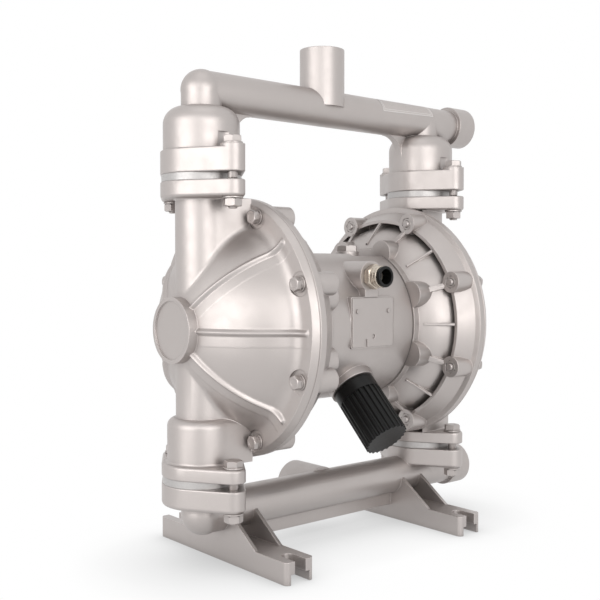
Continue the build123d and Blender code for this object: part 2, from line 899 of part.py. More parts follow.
# Suction manifold: cross pipe, rear port, end hub, skirt and two slotted feet
suction_face_z = lower_joint_z - seat_t
suction_low_z = suction_face_z - suction_flange_t
suction_flanges = [
    valve_flange(side * column_x, suction_low_z, suction_flange_t, suction_flange_edge, flange_edge)
    for side in (-1, 1)
]

with BuildPart() as suction_manifold:
    with BuildSketch(across(-column_x, suction_z)):
        Circle(suction_pipe_r)
    extrude(amount=column_x + suction_end_x - bite)
    with Locations((-column_x, 0, suction_z)):
        Sphere(suction_pipe_r + elbow_swell)
    with BuildSketch(across(suction_end_x, suction_z)):
        Circle(end_hub_r)
    extrude(amount=-end_hub_length)
    with BuildSketch(Plane(origin=(0, 0, suction_z), x_dir=(-1, 0, 0), z_dir=(0, 1, 0))):
        Circle(end_hub_r)
    extrude(amount=suction_port_y)
    with BuildSketch(Plane.XZ):
        with Locations((0, skirt_foot_z)):
            Rectangle(
                2 * foot_x - foot_w + bite, suction_z - skirt_foot_z, align=(Align.CENTER, Align.MIN)
            )
    extrude(amount=skirt_t / 2, both=True)
    for side in (-1, 1):
        centre_x = side * column_x
        add(suction_flanges[(side + 1) // 2])
        with BuildSketch(Plane.XY.offset(suction_z)):
            with Locations((centre_x, 0)):
                Circle(suction_pipe_r + elbow_swell / 2)
        extrude(amount=suction_face_z - suction_z - bite)
        # Foot bar with its webs up to the pipe
        with BuildSketch(Plane.XY):
            with Locations((side * foot_x, 0)):
                RectangleRounded(foot_w, 2 * foot_half_length, foot_corner)
        extrude(amount=foot_h)
        for web_side in (-1, 1):
            web_x = side * foot_x + web_side * (foot_w - foot_web_t) / 2
            with BuildSketch(across(web_x, 0)):
                Polygon(
                    (-foot_web_y, foot_h - bite),
                    (foot_web_y, foot_h - bite),
                    (foot_web_top_y, foot_web_top_z),
                    (-foot_web_top_y, foot_web_top_z),
                    align=None,
                )
            extrude(amount=foot_web_t / 2, both=True)
        # Hollow under the bar and the open slots at its ends
        with BuildSketch(Plane.XY):
            with Locations((side * foot_x, 0)):
                Rectangle(hollow_w, 2 * foot_half_length)
        extrude(amount=foot_h - slot_land, mode=Mode.SUBTRACT)
        with BuildSketch(Plane.XY):
            for end in (-1, 1):
                inner_y = end * (foot_half_length - slot_length + slot_w / 2)
                with Locations((side * foot_x, inner_y)):
                    Circle(slot_w / 2)
                with Locations((side * foot_x, (inner_y + end * foot_half_length) / 2)):
                    Rectangle(slot_w, foot_half_length - abs(inner_y))
        extrude(amount=foot_h, mode=Mode.SUBTRACT)
    # Waterway
    with BuildSketch(across(-column_x, suction_z)):
        Circle(suction_bore_r)
    extrude(amount=column_x + suction_end_x, mode=Mode.SUBTRACT)
    with BuildSketch(across(suction_end_x, suction_z)):
        Circle(thread_r)
    extrude(amount=-plug_depth, mode=Mode.SUBTRACT)
    with BuildSketch(Plane(origin=(0, 0, suction_z), x_dir=(-1, 0, 0), z_dir=(0, 1, 0))):
        Circle(suction_riser_r)
    extrude(amount=suction_port_y, mode=Mode.SUBTRACT)
    with Locations((-column_x, 0, suction_z)):
        Sphere(suction_elbow_r, mode=Mode.SUBTRACT)
    port_plane = Plane(origin=(0, suction_port_y, suction_z), x_dir=(-1, 0, 0), z_dir=(0, 1, 0))
    with BuildSketch(port_plane):
        Circle(thread_r)
    extrude(amount=-suction_port_depth, mode=Mode.SUBTRACT)
    for side in (-1, 1):
        with BuildSketch(Plane.XY.offset(suction_z)):
            with Locations((side * column_x, 0)):
                Circle(suction_riser_r)
        extrude(amount=suction_face_z - suction_z, mode=Mode.SUBTRACT)
        ear_holes(side * column_x, suction_low_z, suction_flange_t)
save(suction_manifold.part, "suction_manifold")

# Pipe plugs in the end hubs
plug_bodies = {"discharge_plug": (discharge_end_x, discharge_z)}
plug_bodies["suction_plug"] = (suction_end_x, suction_z)
for plug_name, (plug_x, plug_z) in plug_bodies.items():
    with BuildPart() as plug:
        with BuildSketch(across(plug_x, plug_z)):
            Circle(thread_r)
        extrude(amount=-plug_depth)
        with BuildSketch(across(plug_x, plug_z)):
            RegularPolygon(m10_flats / 2, 6, major_radius=False)
        extrude(amount=-plug_depth / 2, mode=Mode.SUBTRACT)
        chamfer(plug.faces().sort_by(Axis.X)[-1].outer_wire().edges(), length=edge_break)
    save(plug.part, plug_name)


# Check valves: seat rings with their seals, and the balls
def seat_ring(base_z):
    """Seat ring of the right column: bore, cone for the ball and a seal groove in each face."""
    with BuildPart() as ring:
        with BuildSketch(Plane.XY.offset(base_z)):
            with Locations((column_x, 0)):
                Circle(seat_r)
                Circle(seat_bore_r, mode=Mode.SUBTRACT)
        extrude(amount=seat_t)
        with BuildSketch(Plane.XZ):
            with BuildLine():
                Polyline(
                    (column_x, base_z + seat_t - seat_cone),
                    (column_x + seat_bore_r, base_z + seat_t - seat_cone),
                    (column_x + seat_bore_r + seat_cone, base_z + seat_t),
                    (column_x, base_z + seat_t),
                    close=True,
                )
            make_face()
        revolve(axis=column_axis(column_x), mode=Mode.SUBTRACT)
        for groove_z in (base_z, base_z + seat_t - o_ring_groove):
            with BuildSketch(Plane.XY.offset(groove_z)):
                with Locations((column_x, 0)):
                    Circle(o_ring_r + o_ring_section / 2)
                    Circle(o_ring_r - o_ring_section / 2, mode=Mode.SUBTRACT)
            extrude(amount=o_ring_groove, mode=Mode.SUBTRACT)
    return ring.part


save_pair(seat_ring(upper_joint_z), "discharge_seat")
save_pair(seat_ring(suction_face_z), "suction_seat")

with BuildPart() as seat_o_rings:
    for joint_z in (suction_face_z, upper_joint_z):
        for ring_z in (joint_z, joint_z + seat_t - o_ring_groove):
            with BuildSketch(Plane.XY.offset(ring_z)):
                with Locations((column_x, 0)):
                    Circle(o_ring_r + o_ring_section / 2 - seat_gap)
                    Circle(o_ring_r - o_ring_section / 2 + seat_gap, mode=Mode.SUBTRACT)
            extrude(amount=o_ring_groove)
    mirror(about=Plane.YZ)
save(seat_o_rings.part, "seat_o_rings")

for ball_name, ball_face_z in (("discharge_ball", discharge_face_z), ("suction_ball", lower_joint_z)):
    with BuildPart() as ball:
        with Locations((column_x, 0, ball_face_z + ball_rest + free_gap)):
            Sphere(ball_r)
    save_pair(ball.part, ball_name)


# Rod with its plates, and the diaphragms
plate_face_x = parting_x - diaphragm_t / 2
rod_half = plate_face_x - inner_plate_t
outer_face_x = parting_x + diaphragm_t / 2

with BuildPart() as diaphragm_rod:
    with BuildSketch(across(-rod_half)):
        Circle(rod_r)
    extrude(amount=2 * rod_half)
    chamfer(diaphragm_rod.edges(), length=edge_break)
    for side in (-1, 1):
        with BuildSketch(across(side * rod_half)):
            Circle(plate_bolt_r)
        extrude(amount=-side * (plate_bolt_grip + bite), mode=Mode.SUBTRACT)
save(diaphragm_rod.part, "diaphragm_rod")

with BuildPart() as inner_plate:
    with BuildSketch(radial(90)) as inner_outline:
        with BuildLine():
            Polyline(
                (rod_half, plate_bolt_r + free_gap),
                (rod_half, inner_hub_r),
                (plate_face_x - plate_rim_t, inner_plate_r),
                (plate_face_x, inner_plate_r),
                (plate_face_x, plate_bolt_r + free_gap),
                close=True,
            )
        make_face()
        rim = inner_outline.vertices().sort_by_distance((plate_face_x, inner_plate_r))[0]
        fillet(rim, plate_rim_round)
    revolve(axis=rod_axis)
save_pair(inner_plate.part, "inner_plate")

with BuildPart() as outer_plate:
    with BuildSketch(radial(90)) as outer_outline:
        with BuildLine():
            Polyline(
                (outer_face_x, plate_bolt_r + free_gap),
                (outer_face_x, outer_plate_r),
                (outer_face_x + plate_rim_t, outer_plate_r),
                (outer_face_x + outer_plate_t, outer_hub_r),
                (outer_face_x + outer_plate_t, plate_bolt_r + free_gap),
                close=True,
            )
        make_face()
        rim = outer_outline.vertices().sort_by_distance((outer_face_x, outer_plate_r))[0]
        fillet(rim, plate_rim_round)
    revolve(axis=rod_axis)
save_pair(outer_plate.part, "outer_plate")

with BuildPart() as plate_bolts:
    with BuildSketch(across(outer_face_x + outer_plate_t)):
        RegularPolygon(plate_bolt_flats / 2, 6, major_radius=False)
    extrude(amount=plate_bolt_head_h)
    with BuildSketch(across(outer_face_x + outer_plate_t)):
        Circle(plate_bolt_r)
    extrude(amount=-(outer_plate_t + diaphragm_t + inner_plate_t + plate_bolt_grip))
    mirror(about=Plane.YZ)
save(plate_bolts.part, "plate_bolts")

with BuildPart() as diaphragm:
    bend_r = (inner_plate_r + opening_r) / 2
    rim_r = opening_r - convolution_inset
    hub_r = inner_plate_r + convolution_inset / 2
    with BuildSketch(radial(90)):
        with BuildLine():
            Polyline(
                (plate_face_x, hub_r),
                (plate_face_x, plate_bolt_r + free_gap),
                (outer_face_x, plate_bolt_r + free_gap),
                (outer_face_x, hub_r),
            )
            ThreePointArc(
                (outer_face_x, hub_r),
                (outer_face_x + convolution, bend_r),
                (outer_face_x, rim_r),
            )
            Polyline(
                (outer_face_x, rim_r),
                (outer_face_x, clamp_r - seat_gap),
                (plate_face_x, clamp_r - seat_gap),
                (plate_face_x, rim_r),
            )
            ThreePointArc(
                (plate_face_x, rim_r),
                (plate_face_x + convolution, bend_r),
                (plate_face_x, hub_r),
            )
        make_face()
    revolve(axis=rod_axis)
save_pair(diaphragm.part, "diaphragm")


def tube_piece(start_x, z, outer_r, inner_r, length):
    """Round sleeve along the rod."""
    with BuildSketch(across(start_x, z)) as outline:
        Circle(outer_r)
        Circle(inner_r, mode=Mode.SUBTRACT)
    extrude(outline.sketch, amount=length)


with BuildPart() as rod_bushings:
    tube_piece(bushing_start_x, rod_z, bushing_r, rod_r + running_fit, bushing_length)
    mirror(about=Plane.YZ)
save(rod_bushings.part, "rod_bushings")

with BuildPart() as rod_seals:
    seal_x = bushing_start_x - rod_seal_length
    tube_piece(seal_x, rod_z, bushing_r, rod_r + running_fit, rod_seal_length)
    mirror(about=Plane.YZ)
save(rod_seals.part, "rod_seals")

# Pilot rod, pushed by the inner plates at the end of each stroke
pilot_half = rod_half - stroke + stroke * pilot_ratio - pilot_free

with BuildPart() as pilot_rod:
    with BuildSketch(across(-pilot_half, pilot_z)):
        Circle(pilot_r)
    extrude(amount=2 * pilot_half)
    chamfer(pilot_rod.edges(), length=edge_break)
save(pilot_rod.part, "pilot_rod")

with BuildPart() as pilot_bushings:
    tube_piece(
        spigot_x - pilot_bushing_length,
        pilot_z,
        pilot_bushing_r,
        pilot_r + running_fit,
        pilot_bushing_length,
    )
    mirror(about=Plane.YZ)
save(pilot_bushings.part, "pilot_bushings")

# Air valve: sleeve, spool with its seals, end plugs
valve_plug_x = body_x - valve_plug_t
spool_half = valve_plug_x - spool_travel - free_gap
neck_length = (2 * spool_half - 3 * spool_land) / 2

with BuildPart() as valve_sleeve:
    with BuildSketch(across(-valve_plug_x, sleeve_z)):
        Circle(sleeve_r - seat_gap)
        Circle(spool_r + running_fit, mode=Mode.SUBTRACT)
    extrude(amount=2 * valve_plug_x)
    for port_x in (-sleeve_seal_x / 2 - neck_length / 2, 0, sleeve_seal_x / 2 + neck_length / 2):
        with BuildSketch(front_plane(0)):
            with Locations((port_x, sleeve_z)):
                Circle(spool_neck_r - 1)
        extrude(amount=sleeve_r, both=True, mode=Mode.SUBTRACT)
    for seal_x in (-sleeve_seal_x / 2, sleeve_seal_x / 2):
        with BuildSketch(across(seal_x - sleeve_seal_w / 2, sleeve_z)):
            Circle(sleeve_r)
            Circle(sleeve_r - sleeve_seal_w, mode=Mode.SUBTRACT)
        extrude(amount=sleeve_seal_w, mode=Mode.SUBTRACT)
save(valve_sleeve.part, "valve_sleeve")

with BuildPart() as valve_sleeve_seals:
    for seal_x in (-sleeve_seal_x / 2, sleeve_seal_x / 2):
        tube_piece(
            seal_x - sleeve_seal_w / 2,
            sleeve_z,
            sleeve_r,
            sleeve_r - sleeve_seal_w,
            sleeve_seal_w,
        )
save(valve_sleeve_seals.part, "valve_sleeve_seals")

with BuildPart() as valve_spool:
    with BuildSketch(across(-spool_half, sleeve_z)):
        Circle(spool_r)
    extrude(amount=2 * spool_half)
    for side in (-1, 1):
        with BuildSketch(across(side * spool_land / 2, sleeve_z)):
            Circle(spool_r)
            Circle(spool_neck_r, mode=Mode.SUBTRACT)
        extrude(amount=side * neck_length, mode=Mode.SUBTRACT)
        with BuildSketch(across(side * (spool_half - spool_land / 2) - spool_seal_w / 2, sleeve_z)):
            Circle(spool_r)
            Circle(spool_r - spool_seal_w, mode=Mode.SUBTRACT)
        extrude(amount=spool_seal_w, mode=Mode.SUBTRACT)
save(valve_spool.part, "valve_spool")

with BuildPart() as spool_seals:
    tube_piece(
        spool_half - spool_land / 2 - spool_seal_w / 2,
        sleeve_z,
        spool_r,
        spool_r - spool_seal_w,
        spool_seal_w,
    )
    mirror(about=Plane.YZ)
save(spool_seals.part, "spool_seals")

with BuildPart() as valve_end_plugs:
    with BuildSketch(across(valve_plug_x, sleeve_z)):
        Circle(sleeve_r - seat_gap)
    extrude(amount=valve_plug_t)
    mirror(about=Plane.YZ)
save(valve_end_plugs.part, "valve_end_plugs")

with BuildPart() as top_plug:
    top_plug_z = rod_z + top_flat + top_plug_boss_h
    with BuildSketch(Plane.XY.offset(top_plug_z)):
        with Locations((top_plug_x, top_plug_y)):
            RegularPolygon(top_plug_flats / 2, 6, major_radius=False)
    extrude(amount=top_plug_head_h)
    with BuildSketch(Plane.XY.offset(top_plug_z)):
        with Locations((top_plug_x, top_plug_y)):
            Circle(top_plug_r)
    extrude(amount=-(top_plug_boss_h + top_plug_engage))
save(top_plug.part, "top_plug")


# Air inlet: push-in fitting with its grip ring, seal and release collar
def fitting_ring(distance, outer_r, inner_r, length):
    """Round ring of the fitting, from this distance in front of the rod towards the front."""
    with BuildSketch(front_plane(distance)) as outline:
        with Locations((inlet_x, inlet_z)):
            Circle(outer_r)
            if inner_r:
                Circle(inner_r, mode=Mode.SUBTRACT)
    extrude(outline.sketch, amount=length)


fitting_hex_end = inlet_boss_y + fitting_hex_h
fitting_end = fitting_hex_end + fitting_body_length
collar_seat = fitting_end - collar_sleeve_length + collar_travel
tube_stop = inlet_boss_y - fitting_thread_length / 2
grip_start = collar_seat - 2 * collar_travel - grip_t

with BuildPart() as air_inlet_fitting:
    fitting_ring(inlet_boss_y - fitting_thread_length, fitting_thread_r, 0, fitting_thread_length)
    with BuildSketch(front_plane(inlet_boss_y)):
        with Locations((inlet_x, inlet_z)):
            RegularPolygon(fitting_flats / 2, 6, major_radius=False, rotation=30)
    extrude(amount=fitting_hex_h)
    fitting_ring(fitting_hex_end, fitting_body_r, 0, fitting_body_length)
    with BuildSketch(front_plane(inlet_boss_y - fitting_thread_length)):
        with Locations((inlet_x, inlet_z)):
            Circle(fitting_bore_r)
    extrude(amount=fitting_thread_length, mode=Mode.SUBTRACT)
    with BuildSketch(front_plane(tube_stop)):
        with Locations((inlet_x, inlet_z)):
            Circle(tube_r)
    extrude(amount=fitting_end - tube_stop, mode=Mode.SUBTRACT)
    with BuildSketch(front_plane(grip_start - tube_o_ring_t)):
        with Locations((inlet_x, inlet_z)):
            Circle(collar_sleeve_r + running_fit)
    extrude(amount=fitting_end, mode=Mode.SUBTRACT)
save(air_inlet_fitting.part, "air_inlet_fitting")

with BuildPart() as tube_grip_ring:
    fitting_ring(grip_start, collar_sleeve_r, tube_r, grip_t)
save(tube_grip_ring.part, "tube_grip_ring")

with BuildPart() as tube_o_ring:
    fitting_ring(grip_start - tube_o_ring_t, collar_sleeve_r, tube_r, tube_o_ring_t)
save(tube_o_ring.part, "tube_o_ring")

with BuildPart() as release_collar:
    collar_start = collar_seat - collar_travel + free_gap
    collar_flange_start = fitting_end + collar_travel + free_gap
    fitting_ring(collar_start, collar_sleeve_r, tube_r, collar_flange_start - collar_start)
    fitting_ring(collar_flange_start, collar_flange_r, tube_r, collar_flange_t)
save(release_collar.part, "release_collar")

# Exhaust: nipple and fluted muffler
with BuildPart() as muffler_nipple:
    with BuildSketch(muffler_plane(muffler_start - nipple_gap - nipple_engage)):
        Circle(nipple_r - seat_gap)
        Circle(nipple_bore_r, mode=Mode.SUBTRACT)
    extrude(amount=2 * nipple_engage + nipple_gap)
save(muffler_nipple.part, "muffler_nipple")

with BuildPart() as muffler_body:
    with BuildSketch(muffler_plane(muffler_start)):
        Circle(muffler_r)
    extrude(amount=muffler_length)
    with BuildSketch(muffler_plane(muffler_start + muffler_collar)):
        with PolarLocations(muffler_r, flute_count):
            Circle(flute_r)
    extrude(amount=muffler_length, mode=Mode.SUBTRACT)
    with BuildSketch(muffler_plane(muffler_start)):
        Circle(nipple_r)
    extrude(amount=nipple_engage, mode=Mode.SUBTRACT)
save(muffler_body.part, "muffler_body")

# Bare plate on the pad, with its rivets
rivet_z = pad_top - rivet_drop
rivet_spots = [(pad_left + rivet_inset_x, rivet_z), (pad_right - rivet_inset_x, rivet_z)]

with BuildPart() as nameplate:
    with BuildSketch(front_plane(pad_y)):
        with Locations(((pad_left + pad_right) / 2, (pad_bottom + pad_top) / 2)):
            RectangleRounded(
                pad_right - pad_left - 2 * plate_inset,
                pad_top - pad_bottom - 2 * plate_inset,
                pad_corner - plate_inset,
            )
        with Locations(*rivet_spots):
            Circle(rivet_r, mode=Mode.SUBTRACT)
        with Locations((plate_hole_x, pad_bottom + plate_hole_rise)):
            Circle(plate_hole_r, mode=Mode.SUBTRACT)
        with Locations((plate_slot_x, pad_bottom)):
            Rectangle(
                plate_slot_w,
                plate_slot_rise,
                align=(Align.CENTER, Align.MIN),
                mode=Mode.SUBTRACT,
            )
    extrude(amount=plate_t)
save(nameplate.part, "nameplate")

with BuildPart() as nameplate_rivets:
    with BuildSketch(front_plane(pad_y)):
        with Locations(*rivet_spots):
            Circle(rivet_r)
    extrude(amount=plate_t)
    with BuildSketch(front_plane(pad_y + plate_t)):
        with Locations(*rivet_spots):
            Circle(rivet_head_r)
    extrude(amount=rivet_head_h)
save(nameplate_rivets.part, "nameplate_rivets")


# Chamber bolts, nuts and washers, eight on each side
def bolt_ring(x, shape_r, length, flats=None, hole_r=None):
    """Ring of round or hexagonal blanks on the bolt circle."""
    with BuildSketch(across(x)) as outline:
        with PolarLocations(bolt_circle_r, bolt_count, start_angle=180 / bolt_count):
            if flats:
                RegularPolygon(flats / 2, 6, major_radius=False)
            else:
                Circle(shape_r)
            if hole_r:
                Circle(hole_r, mode=Mode.SUBTRACT)
    extrude(outline.sketch, amount=length)


bolt_head_x = bolt_seat_x + m8_washer_t + spring_washer_t

with BuildPart() as chamber_bolts:
    bolt_ring(bolt_head_x, 0, m8_head_h, flats=m8_flats)
    bolt_ring(bolt_head_x, m8_r, -(bolt_head_x - nut_face_x + bolt_tip))
    mirror(about=Plane.YZ)
save(chamber_bolts.part, "chamber_bolts")

with BuildPart() as chamber_washers:
    bolt_ring(bolt_seat_x, m8_washer_r, m8_washer_t, hole_r=bolt_hole_r)
    bolt_ring(bolt_seat_x + m8_washer_t, spring_washer_r, spring_washer_t, hole_r=bolt_hole_r)
    mirror(about=Plane.YZ)
save(chamber_washers.part, "chamber_washers")

with BuildPart() as chamber_nuts:
    bolt_ring(nut_face_x, 0, m8_nut_h, flats=m8_flats, hole_r=m8_r)
    mirror(about=Plane.YZ)
save(chamber_nuts.part, "chamber_nuts")


# Manifold bolts, nuts and washers, two on each valve joint
def ear_shapes(base_z, length, radius=None, flats=None, hole_r=None):
    """Round or hexagonal blanks on the two ears of the right column."""
    with BuildSketch(Plane.XY.offset(base_z)) as outline:
        with Locations((column_x, ear_y), (column_x, -ear_y)):
            if flats:
                RegularPolygon(flats / 2, 6, major_radius=False)
            else:
                Circle(radius)
            if hole_r:
                Circle(hole_r, mode=Mode.SUBTRACT)
    extrude(outline.sketch, amount=length)


upper_head_z = discharge_top_z + ear_rise
upper_nut_z = upper_joint_z - upper_flange_t
lower_head_z = lower_joint_z + lower_flange_t
lower_nut_z = suction_low_z
joint_stacks = ((upper_head_z, upper_nut_z), (lower_head_z, lower_nut_z))

with BuildPart() as manifold_bolts:
    for head_z, nut_z in joint_stacks:
        tip_z = nut_z - m10_washer_t - m10_nut_h - bolt_tip
        ear_shapes(head_z + m10_washer_t, m10_head_h, flats=m10_flats)
        ear_shapes(tip_z, head_z + m10_washer_t - tip_z, radius=m10_r)
    mirror(about=Plane.YZ)
save(manifold_bolts.part, "manifold_bolts")

with BuildPart() as manifold_washers:
    for head_z, nut_z in joint_stacks:
        ear_shapes(head_z, m10_washer_t, radius=m10_washer_r, hole_r=m10_hole_r)
        ear_shapes(nut_z - m10_washer_t, m10_washer_t, radius=m10_washer_r, hole_r=m10_hole_r)
    mirror(about=Plane.YZ)
save(manifold_washers.part, "manifold_washers")

with BuildPart() as manifold_nuts:
    for head_z, nut_z in joint_stacks:
        ear_shapes(nut_z - m10_washer_t - m10_nut_h, m10_nut_h, flats=m10_flats, hole_r=m10_r)
    mirror(about=Plane.YZ)
save(manifold_nuts.part, "manifold_nuts")
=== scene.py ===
import json
import math
import bmesh
import bpy
from mathutils import Matrix, Vector


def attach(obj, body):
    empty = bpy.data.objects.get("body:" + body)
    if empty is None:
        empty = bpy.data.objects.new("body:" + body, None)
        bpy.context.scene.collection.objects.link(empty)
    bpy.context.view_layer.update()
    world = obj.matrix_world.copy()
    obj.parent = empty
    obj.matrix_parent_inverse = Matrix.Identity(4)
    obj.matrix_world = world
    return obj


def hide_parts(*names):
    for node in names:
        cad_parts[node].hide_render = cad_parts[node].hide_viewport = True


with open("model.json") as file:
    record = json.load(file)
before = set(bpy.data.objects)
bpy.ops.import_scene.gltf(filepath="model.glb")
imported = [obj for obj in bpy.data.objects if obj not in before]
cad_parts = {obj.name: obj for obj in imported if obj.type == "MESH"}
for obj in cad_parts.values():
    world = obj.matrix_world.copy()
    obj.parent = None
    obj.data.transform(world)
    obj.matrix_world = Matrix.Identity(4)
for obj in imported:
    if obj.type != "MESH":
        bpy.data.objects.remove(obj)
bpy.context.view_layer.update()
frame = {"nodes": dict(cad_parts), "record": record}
cad = frame["nodes"]
MM = 0.001


class Wire:
    """One shader socket that takes part in Python arithmetic."""

    def __init__(self, owner, socket):
        self.owner = owner
        self.socket = socket

    def math(self, operation, first, second):
        return self.owner.node("Math", {"operation": operation}, {0: first, 1: second})

    def __add__(self, other):
        return self.math("ADD", self, other)

    def __mul__(self, other):
        return self.math("MULTIPLY", self, other)

    def __pow__(self, other):
        return self.math("POWER", self, other)

    def __rsub__(self, other):
        return self.math("SUBTRACT", other, self)

    def between(self, low, high, start=0.0, end=1.0):
        """The value's way from low to high, as a number from start to end, held at both ends."""
        sockets = {"Value": self, "From Min": low, "From Max": high, "To Min": start, "To Max": end}
        return self.owner.node("MapRange", {"clamp": True}, sockets)


class Finish:
    """A node material for one of the pump's surfaces, or the nodes of the studio's world."""

    def __init__(self, name, world=None):
        self.home = world or bpy.data.materials.new(name)
        self.home.use_nodes = True
        self.tree = self.home.node_tree
        self.tree.nodes.clear()

    def node(self, kind, settings=None, inputs=None, output=0):
        """Adds a node, sets what it is, fills its sockets and returns one of its outputs."""
        made = self.tree.nodes.new("ShaderNode" + kind)
        for name, value in (settings or {}).items():
            setattr(made, name, value)
        for name, value in (inputs or {}).items():
            if isinstance(value, Wire):
                self.tree.links.new(value.socket, made.inputs[name])
            else:
                made.inputs[name].default_value = value
        return Wire(self, made.outputs[output])

    def grain(self, size, detail=2.0, rough=0.5):
        """Noise from 0 to 1 with lumps of this size in metres."""
        place = self.node("TexCoord", output="Object")
        sockets = {"Vector": place, "Scale": 1.0 / size, "Detail": detail, "Roughness": rough}
        return self.node("TexNoise", inputs=sockets)

    def mixed(self, share, first, second):
        """Two colours, with this share of the second one."""
        sockets = {0: share, 6: first, 7: second}
        return self.node("Mix", {"data_type": "RGBA"}, sockets, output=2)

    def rounded(self, radius):
        """The surface's normal, as if its edges had this radius."""
        return self.node("Bevel", {"samples": 6}, {"Radius": radius})

    def edge(self, soft_normal):
        """0 on a plain face, rising towards an edge."""
        true_normal = self.node("NewGeometry", output="Normal")
        sockets = {0: soft_normal, 1: true_normal}
        return 1.0 - self.node("VectorMath", {"operation": "DOT_PRODUCT"}, sockets, output="Value")

    def corner(self, reach):
        """0 in the open, rising to 1 in a corner or under another piece."""
        return 1.0 - self.node("AmbientOcclusion", {"samples": 6}, {"Distance": reach}, output="AO")

    def dents(self, height, depth, normal):
        """Normals of a surface with this relief, its depth in metres."""
        sockets = {"Height": height, "Distance": depth, "Strength": 1.0, "Normal": normal}
        return self.node("Bump", inputs=sockets)

    def seen_rays(self):
        """Above 0 for rays that the camera or a shiny or clear surface sends out."""
        camera_ray = self.node("LightPath", output="Is Camera Ray")
        glossy_ray = self.node("LightPath", output="Is Glossy Ray")
        clear_ray = self.node("LightPath", output="Is Transmission Ray")
        return camera_ray + glossy_ray + clear_ray

    def shader(self, **sockets):
        """The main shader, its sockets named with an underscore for each space."""
        named = {name.replace("_", " "): value for name, value in sockets.items()}
        return self.node("BsdfPrincipled", inputs=named)

    def done(self, shader, kind="OutputMaterial"):
        """Joins the shader to its output and returns the finished material or world."""
        output = self.tree.nodes.new("ShaderNode" + kind)
        self.tree.links.new(shader.socket, output.inputs["Surface"])
        return self.home


# Finishes
def grey(value, warm=0.0):
    """A grey of this brightness, made warmer by this share, as the shader takes it."""
    return (value * (1.0 + warm), value, value * (1.0 - warm * 0.4), 1.0)


def paint(name, tone, grain_size, grain_depth, sheen, edge_radius, wave_depth):
    """Silver grey paint over cast or forged metal, with painted shade in its corners and pale edges
    that are partly worn paint and partly a painted highlight.
    """
    made = Finish(name)
    soft = made.rounded(edge_radius)
    cast = made.grain(grain_size, detail=3.0, rough=0.6)
    wave = made.grain(0.035, detail=1.0)
    patch = made.grain(0.09)

    thin_coat, thick_coat = grey(tone * 0.94, 0.088), grey(tone * 1.05, 0.078)
    pore, corner_shade = grey(tone * 0.62, 0.085), grey(tone * 0.36, 0.14)
    deep_shade, worn_and_highlit_edge = grey(tone * 0.20, 0.16), grey(min(tone * 1.45, 0.92), 0.08)

    colour = made.mixed(patch, thin_coat, thick_coat)
    colour = made.mixed(cast * 0.10, colour, pore)
    # Painted shade: ambient occlusion darkens the colour in corners, creases and under other pieces
    colour = made.mixed(made.corner(0.008) ** 1.3 * 0.60, colour, corner_shade)
    colour = made.mixed(made.corner(0.045) ** 2.0 * 0.15, colour, deep_shade)
    # Pale edges: partly paint worn thin, partly a painted highlight where the rounded edges catch the
    # light
    colour = made.mixed(made.edge(soft).between(0.015, 0.22) * 0.55, colour, worn_and_highlit_edge)
    relief = made.dents(wave, wave_depth, made.dents(cast, grain_depth, soft))
    gloss = made.grain(0.012).between(0.3, 0.7, sheen - 0.03, sheen + 0.05)
    return made.done(
        made.shader(Base_Color=colour, Metallic=0.8, Roughness=gloss, Normal=relief)
    )


def simple(name, colour, metallic, roughness, shine=0.5):
    """One even material with a fine grain."""
    made = Finish(name)
    fine = made.grain(0.002)
    darker = tuple(c * 0.82 for c in colour[:3]) + (1.0,)
    return made.done(made.shader(
        Base_Color=made.mixed(fine, colour, darker),
        Metallic=metallic,
        Roughness=fine.between(0.2, 0.8, roughness - 0.04, roughness + 0.06),
        Specular_IOR_Level=shine,
        Normal=made.dents(fine, 0.00001, made.rounded(0.0004)),
    ))


finish = {
    "casting": paint("cast_paint", 0.48, 0.0016, 0.00006, 0.40, 0.0011, 0.00012),
    "fastener": paint("fastener_paint", 0.46, 0.0010, 0.00002, 0.38, 0.0004, 0.00003),
    "seat": simple("turned_seat", grey(0.56, 0.03), 0.5, 0.36),
    "rubber": simple("rubber", grey(0.03), 0.0, 0.6),
    "bearing": simple("bearing_plastic", grey(0.62, 0.05), 0.0, 0.5),
    "inner_steel": simple("ground_steel", grey(0.55), 0.95, 0.3),
    "brass": simple("nickelled_brass", (0.60, 0.53, 0.45, 1.0), 0.9, 0.24),
    "black_plastic": simple("black_plastic", grey(0.005), 0.0, 0.34, shine=0.3),
    "gasket": simple("gasket_sheet", grey(0.10), 0.0, 0.7),
}
label_paper = simple("label_sheet", grey(0.70, 0.08), 0.0, 0.45)
label_line = simple("label_border", grey(0.96, 0.04), 0.0, 0.45)

slot_of = {part["node"]: part["material_slot"] for part in frame["record"]["subparts"]}
for name, solid in cad.items():
    solid.data.materials.clear()
    solid.data.materials.append(finish[slot_of[name]])


# Making of pieces, from shapes in millimetres
here = Matrix.Identity(4)


def stand(x, y, z, way, turn=0.0):
    """Where a shape stands: its foot at this point, its Z this way, turned about it in degrees."""
    aim = Vector(way).to_track_quat("Z", "Y").to_matrix().to_4x4()
    return Matrix.Translation((x, y, z)) @ aim @ Matrix.Rotation(math.radians(turn), 4, "Z")


